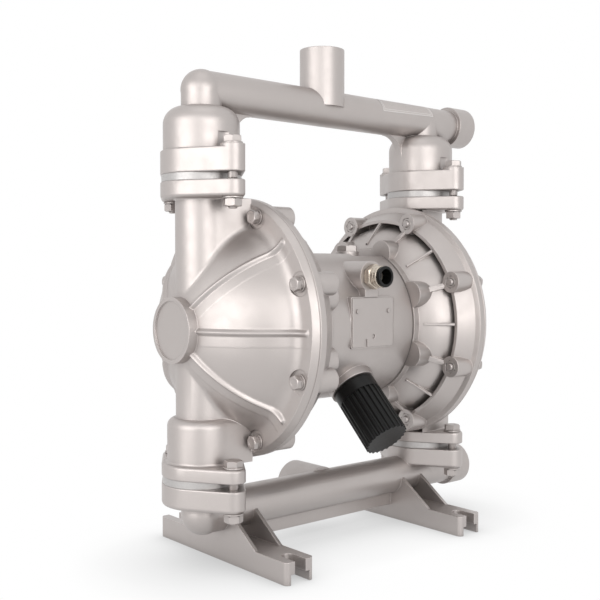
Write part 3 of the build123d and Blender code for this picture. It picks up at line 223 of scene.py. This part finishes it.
def piece(name, shapes, material):
    """One mesh object of several shapes, each given as (points and faces, where it stands)."""
    weld, crease = 0.000004, 30.0
    mesh = bpy.data.meshes.new(name)
    points, faces = [], []
    for (own_points, own_faces), where in shapes:
        first = len(points)
        points += [where @ Vector(point) * MM for point in own_points]
        faces += [tuple(first + corner for corner in face) for face in own_faces]
    mesh.from_pydata(points, [], faces)
    work = bmesh.new()
    work.from_mesh(mesh)
    bmesh.ops.remove_doubles(work, verts=work.verts, dist=weld)
    bmesh.ops.recalc_face_normals(work, faces=work.faces)
    work.to_mesh(mesh)
    work.free()
    mesh.shade_smooth()
    mesh.set_sharp_from_angle(angle=math.radians(crease))
    mesh.materials.append(material)
    made = bpy.data.objects.new(name, mesh)
    bpy.context.scene.collection.objects.link(made)
    return made


def remade(name, shapes, node, slot, body="pump"):
    """A detailed piece that stands for a CAD node."""
    made = piece(name, shapes, finish[slot])
    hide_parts(node)
    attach(made, body)


def added(name, shapes, material):
    """A piece that no CAD node has, fixed to the pump."""
    made = piece(name, shapes, material)
    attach(made, "pump")


def turned(profile, steps=72, start=0.0, end=math.tau, looped=False):
    """Points and faces of a piece that a profile draws round Z. The profile gives the (radius, height)
    rows at an angle; a looped one closes on itself, as a ring's does."""
    whole = abs(end - start - math.tau) < 1e-9
    angles = [start + (end - start) * step / steps for step in range(steps if whole else steps + 1)]
    rows = [[(r * math.cos(a), r * math.sin(a), z) for r, z in profile(a)] for a in angles]
    count = len(rows[0])
    points = [point for row in rows for point in row]
    faces = []
    for step in range(len(rows) if whole else len(rows) - 1):
        near, far = step * count, (step + 1) % len(rows) * count
        for row in range(count if looped else count - 1):
            after = (row + 1) % count
            faces.append((near + row, far + row, far + after, near + after))
    if not whole:
        faces.append(tuple(reversed(range(count))))
        faces.append(tuple(range(len(points) - count, len(points))))
    return points, faces


def sheet(rows):
    """Points and faces of a sheet through rows of equally many points."""
    count = len(rows[0])
    points = [point for row in rows for point in row]
    faces = []
    for row in range(len(rows) - 1):
        for step in range(count - 1):
            corner = row * count + step
            faces.append((corner, corner + 1, corner + count + 1, corner + count))
    return points, faces


# Shapes of bolts, nuts and washers
def hex_radius(angle, flats):
    """Distance from a hexagon's middle to its outline in this direction."""
    return flats / 2 / math.cos((angle + math.pi / 6) % (math.pi / 3) - math.pi / 6)


def chamfer_radius(flats):
    """How far from a hexagon's middle its chamfer starts."""
    return flats * 0.475


def chamfer_drop(radius, flats):
    """How far the chamfer of a hexagon has come down at this radius."""
    return max(0.0, radius - chamfer_radius(flats)) * math.tan(math.radians(30))


def hex_head(flats, height, hollow):
    """A bolt's head, its corners chamfered on top and its middle this much hollow."""
    dish_rim, dish_floor = flats * 0.30, flats * 0.27

    def profile(angle):
        radius = hex_radius(angle, flats)
        return [
            (0, 0),
            (radius, 0),
            (radius, height - chamfer_drop(radius, flats)),
            (chamfer_radius(flats), height),
            (dish_rim, height),
            (dish_floor, height - hollow),
            (0, height - hollow),
        ]
    return turned(profile)


def hex_nut(flats, height, bore):
    """A nut, chamfered at both ends and at its thread."""
    mouth = 0.8

    def profile(angle):
        radius = hex_radius(angle, flats)
        drop = chamfer_drop(radius, flats)
        return [
            (bore, mouth),
            (bore + mouth, 0),
            (chamfer_radius(flats), 0),
            (radius, drop),
            (radius, height - drop),
            (chamfer_radius(flats), height),
            (bore + mouth, height),
            (bore, height - mouth),
        ]
    return turned(profile, looped=True)


def ring(bore, radius, height, edge):
    """A flat ring with broken edges."""
    rows = [
        (bore, edge),
        (bore + edge, 0),
        (radius - edge, 0),
        (radius, edge),
        (radius, height - edge),
        (radius - edge, height),
        (bore + edge, height),
        (bore, height - edge),
    ]
    return turned(lambda angle: rows, steps=48, looped=True)


def spring_ring(bore, radius, height):
    """A spring washer: a square wire that almost goes round, with its two cut ends."""
    wire, cut = height * 0.92, 0.10

    def profile(angle):
        lift = (height - wire) * angle / math.tau
        return [(bore, lift), (radius, lift), (radius, lift + wire), (bore, lift + wire)]
    return turned(profile, steps=46, start=cut, end=math.tau - cut, looped=True)


def stud(radius, length, thread, pitch):
    """A bolt's shank from its foot up, its last part threaded and its end chamfered."""
    groove, run_out, point = pitch * 0.55, 0.6, 1.0
    steps = int(thread / pitch * 6)

    def profile(angle):
        rows = [(0, 0), (radius, 0), (radius, length - thread - run_out)]
        for step in range(steps + 1):
            height = length - thread + thread * step / steps
            phase = (height / pitch - angle / math.tau) % 1.0
            depth = groove * (1.0 - abs(2.0 * phase - 1.0))
            taper = max(0.0, height - length + point)
            rows.append((min(radius - depth, radius - taper), height))
        rows.append((0, length))
        return rows
    return turned(profile, steps=30)


# Bolts round the two fluid chambers, M8
rod_z, column_x = 246.5, 167.5
bolt_circle, bolts_round = 125.45, 8
washer_x, spring_x, head_x, nut_x = 131.5, 133.1, 135.1, 91.0
bolts, washers, nuts = [], [], []
for side in (-1, 1):
    out, inward = (side, 0, 0), (-side, 0, 0)
    for index in range(bolts_round):
        angle = math.tau * (index + 0.5) / bolts_round
        y = -bolt_circle * math.cos(angle)
        z = rod_z + bolt_circle * math.sin(angle)
        turn = 17 * index + 8 * side
        washers.append((ring(4.5, 8.3, 1.6, 0.25), stand(side * washer_x, y, z, out)))
        washers.append((spring_ring(4.5, 7.0, 2.0), stand(side * spring_x, y, z, out, turn * 5)))
        bolts.append((hex_head(13.0, 5.3, 0.25), stand(side * head_x, y, z, out, turn)))
        bolts.append((stud(4.0, 46.1, 9.0, 1.25), stand(side * head_x, y, z, inward)))
        nuts.append((hex_nut(13.0, 6.5, 3.6), stand(side * nut_x, y, z, out, 30)))
remade("chamber_bolt_set", bolts, "chamber_bolts", "fastener")
remade("chamber_washer_set", washers, "chamber_washers", "fastener")
remade("chamber_nut_set", nuts, "chamber_nuts", "fastener")

# Bolts of the four valve joints, M10
joint_bolt_y, joint_washer_t, joint_nut_h, tip_past_nut = 54.6, 2.0, 8.0, 2.0
upper_joint, lower_joint = (433.5, 381.5), (108.8, 64.3)
bolts, washers, nuts = [], [], []
for side in (-1, 1):
    for end in (-1, 1):
        for top_face, under_face in (upper_joint, lower_joint):
            x, y = side * column_x, end * joint_bolt_y
            turn = 11 * side * end + 0.3 * top_face
            head_z = top_face + joint_washer_t
            nut_z = under_face - joint_washer_t - joint_nut_h
            flat = ring(5.5, 10.3, joint_washer_t, 0.4)
            washers.append((flat, stand(x, y, top_face, (0, 0, 1))))
            washers.append((flat, stand(x, y, under_face - joint_washer_t, (0, 0, 1))))
            bolts.append((hex_head(17.0, 6.4, 0.3), stand(x, y, head_z, (0, 0, 1), turn)))
            shank = stud(5.0, head_z - nut_z + tip_past_nut, 30.0, 1.5)
            bolts.append((shank, stand(x, y, head_z, (0, 0, -1))))
            nuts.append((hex_nut(17.0, joint_nut_h, 4.6), stand(x, y, nut_z, (0, 0, 1), turn + 13)))
remade("joint_bolt_set", bolts, "manifold_bolts", "fastener")
remade("joint_washer_set", washers, "manifold_washers", "fastener")
remade("joint_nut_set", nuts, "manifold_nuts", "fastener")


# Air fitting, its release collar, and the plug on top of the body
def fitting_profile(angle):
    """The push-in fitting from its thread to its mouth, with a hexagon and turned rings."""
    flats, hexagon_h = 24.0, 8.0
    radius = hex_radius(angle, flats)
    drop = chamfer_drop(radius, flats)
    return [
        (6.5, -11.0), (8.1, -11.0), (8.5, -10.4), (8.5, 0.0),
        (chamfer_radius(flats), 0.0), (radius, drop),
        (radius, hexagon_h - drop), (chamfer_radius(flats), hexagon_h),
        (10.9, 8.2), (10.9, 9.0), (11.8, 9.5), (11.8, 12.4),
        (11.2, 12.7), (11.2, 13.3), (11.8, 13.6), (11.8, 16.2),
        (11.1, 17.0), (9.45, 17.0), (9.45, 3.3), (8.1, 3.3),
        (8.1, -5.5), (6.5, -5.5),
    ]


collar_rows = [
    (8.1, 8.3), (9.4, 8.3), (9.4, 18.8), (10.7, 18.8), (11.3, 19.1), (11.5, 19.7),
    (11.5, 21.0), (11.2, 21.8), (10.5, 22.2), (9.1, 22.2), (8.4, 21.9), (8.1, 21.2),
]
inlet = stand(-5.0, -87.0, 301.0, (0, -1, 0))
fitting_body = turned(fitting_profile, looped=True)
collar_body = turned(lambda angle: collar_rows, looped=True)
remade("fitting_body", [(fitting_body, inlet)], "air_inlet_fitting", "brass")
remade("collar_ring", [(collar_body, inlet)], "release_collar", "black_plastic", body="collar")

plug_foot = (30.5, -10.0, 329.7)
plug_shapes = [
    (hex_head(22.0, 7.3, 0.5), stand(*plug_foot, (0, 0, 1), 12)),
    (stud(7.0, 9.5, 6.0, 1.5), stand(*plug_foot, (0, 0, -1))),
]
remade("plug_head", plug_shapes, "top_plug", "fastener")


# Fluid chambers with slender ribs, and with webs that join the columns to the flanges
dome_x, dome_radius, lip_x, lip_fillet = 73.2, 127.0, 132.0, 16.0
broad_rise, crest_rise, crest_lip_rise, crest_fillet = 3.0, 3.6, 3.4, 20.0
column_radius, clack_radius, web_foot_x = 27.65, 36.75, 131.0
rib_angles = (0, 45, -45, 180, 135, -135)


def rim_profile(radius, plane_x, fillet):
    """Outline of a dome that a fillet joins to a flat rim, as X at a distance from the rod axis."""
    middle_x = plane_x + fillet
    middle = math.sqrt((radius + fillet) ** 2 - (middle_x - dome_x) ** 2)
    touch = middle * radius / (radius + fillet)

    def height(distance):
        if distance < touch:
            return dome_x + math.sqrt(radius ** 2 - distance ** 2)
        if distance < middle:
            return middle_x - math.sqrt(fillet ** 2 - (middle - distance) ** 2)
        return plane_x
    return height


dome_outline = rim_profile(dome_radius, lip_x, lip_fillet)
broad_outline = rim_profile(dome_radius + broad_rise, lip_x + broad_rise, lip_fillet - broad_rise)
crest_outline = rim_profile(dome_radius + crest_rise, lip_x + crest_lip_rise, crest_fillet)


def rib_place(angle, distance, across):
    """Y and height above the rod of a point on a rib, this far out and this far across."""
    turn = math.radians(angle)
    return (
        -distance * math.cos(turn) + across * math.sin(turn),
        distance * math.sin(turn) + across * math.cos(turn),
    )


def slim_dome(side, mesh):
    """The solid's own surface with its broad ribs let down to the dome."""
    inner_end, outer_end, low_side, high_side = 30.0, 127.2, -13.4, 3.4
    below, above = 0.05, 0.1
    points = []
    for vertex in mesh.vertices:
        x, y, z = vertex.co / MM
        rise = z - rod_z
        dome = dome_outline(math.hypot(y, rise))
        for angle in rib_angles:
            turn = math.radians(angle)
            along = -y * math.cos(turn) + rise * math.sin(turn)
            across = y * math.sin(turn) + rise * math.cos(turn)
            on_rib = inner_end < along < outer_end and low_side < across < high_side
            if on_rib and dome + below < x * side < broad_outline(along) + above:
                x = side * dome
        points.append((x, y, z))
    return points, [tuple(face.vertices) for face in mesh.polygons]


def slender_rib(side, angle):
    """A rounded rib from the end boss to the lip, on a smooth strip of the dome."""
    half_width, inner_end, length, steps = 4.1, 33.0, 96.5, 46
    tail_start, tail_length = 126.0, 3.0
    sunk, raised = -0.3, 0.03
    spots = [-15.0, -14.6, -12.8, -11.0, -9.2, -7.4, -5.6]
    spots += [half_width * (step / 5 - 1) for step in range(11)] + [4.6, 5.0]
    rows = []
    for step in range(steps + 1):
        distance = inner_end + length * step / steps
        tail = min(1.0, max(0.0, (distance - tail_start) / tail_length))
        row = []
        for across in spots:
            share = 0.5 + 0.5 * math.cos(math.pi * min(1.0, abs(across) / half_width))
            share = share ** 0.8 * math.sqrt(1.0 - tail ** 2)
            at_border = across in (spots[0], spots[-1]) or step == steps
            base = dome_outline(math.hypot(distance, across)) + (sunk if at_border else raised)
            crest = max(crest_outline(distance), base)
            y, rise = rib_place(angle, distance, across)
            row.append((side * (base + (crest - base) * share), y, rod_z + rise))
        rows.append(row)
    return sheet(rows)


def web_outline(radius, half_width):
    """Points and outward directions round a column and its two webs, from flange to flange."""
    foot = math.hypot(web_foot_x - column_x, half_width)
    first = math.atan2(half_width, web_foot_x - column_x) - math.acos(radius / foot)
    out_x, out_y = math.cos(first), math.sin(first)
    touch_x, touch_y = column_x + radius * out_x, radius * out_y
    wall_steps, round_steps = 8, 48
    wall = []
    for step in range(wall_steps + 1):
        share = step / wall_steps
        x = web_foot_x + (touch_x - web_foot_x) * share
        y = half_width + (touch_y - half_width) * share
        wall.append((x, y, out_x, out_y))
    line = list(wall)
    for step in range(1, round_steps):
        angle = first - 2 * first * step / round_steps
        way_x, way_y = math.cos(angle), math.sin(angle)
        line.append((column_x + radius * way_x, radius * way_y, way_x, way_y))
    line += [(x, -y, way_x, -way_y) for x, y, way_x, way_y in reversed(wall)]
    return line


def column_web(side, upward, end_z, half_width=37.0, fillet=8.0):
    """A column with its webs, from a flange down to its rounded root on the dome."""
    root_steps, sunk = 8, 0.2
    rows = []
    for x, y, out_x, out_y in web_outline(column_radius, half_width):
        ball_x, ball_y = x + fillet * out_x, y + fillet * out_y
        reach = dome_radius + fillet
        ball_rise = math.sqrt(reach ** 2 - (ball_x - dome_x) ** 2 - ball_y ** 2)
        ball = Vector((ball_x - dome_x, ball_y, ball_rise))
        to_wall = Vector((-out_x, -out_y, 0.0))
        to_dome = -ball.normalized()
        spread = to_wall.angle(to_dome)
        row = [(side * x, y, end_z)]
        for step in range(root_steps + 1):
            share = step / root_steps
            wall_part = math.sin((1 - share) * spread) / math.sin(spread)
            dome_part = math.sin(share * spread) / math.sin(spread)
            way = to_wall * wall_part + to_dome * dome_part
            spot = ball + way * (fillet + (sunk if step == root_steps else 0.0))
            row.append((side * (spot.x + dome_x), spot.y, rod_z + upward * spot.z))
        rows.append(row)
    return sheet(rows)


def clack_web(side, low_z=108.5, top_z=155.15, half_width=38.5, round_radius=9.0):
    """The wide lower part of a column with its webs and its rounded shoulder."""
    round_steps = 8
    rows = []
    for x, y, out_x, out_y in web_outline(clack_radius, half_width):
        row = [(side * x, y, low_z)]
        for step in range(round_steps + 1):
            angle = math.pi / 2 * step / round_steps
            inward = round_radius * (1 - math.cos(angle))
            height = top_z - round_radius * (1 - math.sin(angle))
            row.append((side * (x - out_x * inward), y - out_y * inward, height))
        rows.append(row)
    return sheet(rows)


for side, hand in ((-1, "left"), (1, "right")):
    node = "fluid_chamber_" + hand
    shapes = [(slim_dome(side, cad[node].data), here)]
    shapes += [(slender_rib(side, angle), here) for angle in rib_angles]
    shapes.append((column_web(side, 1, 381.6), here))
    shapes.append((column_web(side, -1, 150.0), here))
    shapes.append((clack_web(side), here))
    remade("chamber_casting_" + hand, shapes, node, "casting")


# Thin ribs that stand in the pocket between each bowl and its skirt
def bowl_rib(side, angle, width, crest_x):
    """A tapered rib from the bowl out to the skirt. Its crest is straight, and its foot follows the
    bowl's bulge and then runs into the skirt."""
    crest_out, crest_end_x, crest_end_out = crest_x + 22.2, 94.8, 119.8
    skirt_x, skirt_out, skirt_step = 114.0, 117.0, 3.5
    bowl_steps, skirt_steps = 16, 2
    section = ((-0.5, 0.0), (-0.36, 0.985), (-0.2, 1.0), (0.2, 1.0), (0.36, 0.985), (0.5, 0.0))
    rows = []
    for step in range(bowl_steps + skirt_steps + 1):
        share = min(1.0, step / bowl_steps)
        bulge = 4 * share * (1 - share)
        foot_x, foot_out = 73.0 + 43.0 * share - 3.3 * bulge, 86.0 + 29.0 * share + 5.0 * bulge
        if step > bowl_steps:
            foot_x, foot_out = skirt_x, skirt_out + skirt_step * (step - bowl_steps)
        top_x = crest_x + (crest_end_x - crest_x) * share
        top_out = crest_out + (crest_end_out - crest_out) * share
        row = []
        for across, rise in section:
            x = foot_x + (top_x - foot_x) * rise
            y, height = rib_place(angle, foot_out + (top_out - foot_out) * rise, across * width)
            row.append((side * x, y, rod_z + height))
        rows.append(row)
    return sheet(rows)


for side, hand in ((-1, "left"), (1, "right")):
    shapes = []
    for index in range(8):
        shapes.append((bowl_rib(side, 45 * index, 3.2, 71.8), here))
        shapes.append((bowl_rib(side, 45 * index + 22.5, 4.6, 70.0), here))
    added("bowl_ribs_" + hand, shapes, finish["casting"])


# Blank label on the discharge pipe
def label_sheet(margin, lift):
    """A sheet round the pipe, this far inside the label's border and this far off the paint."""
    pipe_z, pipe_radius = 494.3, 20.8
    label_x, label_length, wrap = 80.0, 89.0, 62.0
    near_low, far_rise, degrees_per_mm = 9.5, 7.0, 2.7
    radius, steps = pipe_radius + lift, 20
    rows = []
    for step in range(steps + 1):
        share = step / steps
        row = []
        for x in (label_x + margin, label_x + label_length - margin):
            low = near_low + far_rise * (x - label_x) / label_length
            angle = math.radians(low + wrap * share + margin * degrees_per_mm * (1 - 2 * share))
            row.append((x, -radius * math.cos(angle), pipe_z + radius * math.sin(angle)))
        rows.append(row)
    return sheet(rows)


for name, margin, lift, material in (
    ("label_edge", 0.0, 0.12, label_line),
    ("label_field", 1.1, 0.16, label_paper),
    ("label_frame", 2.6, 0.20, label_line),
    ("label_panel", 3.4, 0.24, label_paper),
):
    added(name, [(label_sheet(margin, lift), here)], material)


# Studio
def studio_world():
    """White where the camera or a shiny surface looks, and a soft even light elsewhere."""
    made = Finish("studio", bpy.data.worlds.new("studio"))
    strength = made.seen_rays().between(0.0, 1.0, 0.355, 1.0)
    white = made.node("Background", inputs={"Color": (1, 1, 1, 1), "Strength": strength})
    return made.done(white, "OutputWorld")


def floor_finish():
    """White to the eye with a soft shadow under the pump, and plain pale to the light."""
    made = Finish("pale_floor")
    open_sky = made.node("AmbientOcclusion", {"samples": 24}, {"Distance": 0.12}, output="AO")
    bright = open_sky.between(0.0, 1.0, 0.45, 1.0)
    white = made.node("Emission", inputs={"Color": (1, 1, 1, 1), "Strength": bright})
    matt = made.node("BsdfDiffuse", inputs={"Color": grey(0.7)})
    seen = made.seen_rays().between(0.0, 1.0)
    return made.done(made.node("MixShader", inputs={0: seen, 1: matt, 2: white}))


def way_to(azimuth, elevation):
    """The direction in which something stands that is seen from the pump at these angles."""
    turn, rise = math.radians(azimuth), math.radians(elevation)
    return Vector((
        math.sin(turn) * math.cos(rise),
        -math.cos(turn) * math.cos(rise),
        math.sin(rise),
    ))


def softbox(name, azimuth, elevation, distance, width, height, power):
    """A soft lamp that looks at the pump from this side."""
    pump_middle = Vector((0, 0, 0.27))
    way = way_to(azimuth, elevation)
    lamp = bpy.data.lights.new(name, "AREA")
    lamp.shape, lamp.size, lamp.size_y, lamp.energy = "RECTANGLE", width, height, power
    lamp.color = (1.0, 0.985, 0.97)
    made = bpy.data.objects.new(name, lamp)
    made.location = pump_middle + way * distance
    made.rotation_mode = "QUATERNION"
    made.rotation_quaternion = (-way).to_track_quat("-Z", "Y")
    bpy.context.scene.collection.objects.link(made)


bpy.context.scene.world = studio_world()
floor_half, floor_z = 4, -0.0003
floor_corners = [
    (-floor_half, -floor_half, floor_z),
    (floor_half, -floor_half, floor_z),
    (floor_half, floor_half, floor_z),
    (-floor_half, floor_half, floor_z),
]
floor_mesh = bpy.data.meshes.new("floor")
floor_mesh.from_pydata(floor_corners, [], [(0, 1, 2, 3)])
floor = bpy.data.objects.new("floor", floor_mesh)
floor.data.materials.append(floor_finish())
bpy.context.scene.collection.objects.link(floor)

softbox("key_light", -13, 10, 1.5, 1.1, 1.0, 7.7)
softbox("fill_light", -84, 10, 1.5, 1.2, 1.0, 8.0)
softbox("front_light", -48, 20, 1.7, 0.7, 0.8, 1.6)
softbox("top_light", -40, 75, 1.6, 1.0, 1.0, 1.2)

# Camera, where the photo's circles and parallel lines put it
lens = bpy.data.cameras.new("camera")
lens.lens, lens.sensor_width = 55.5, 36.0
lens.clip_start = 0.01
camera = bpy.data.objects.new("camera", lens)
camera.location = (-0.71418, -0.80192, 0.30803)
camera.rotation_mode = "QUATERNION"
camera.rotation_quaternion = (-way_to(-40.33, 1.85)).to_track_quat("-Z", "Y")
bpy.context.scene.collection.objects.link(camera)
bpy.context.scene.camera = camera
bpy.context.scene.view_settings.view_transform = "Standard"
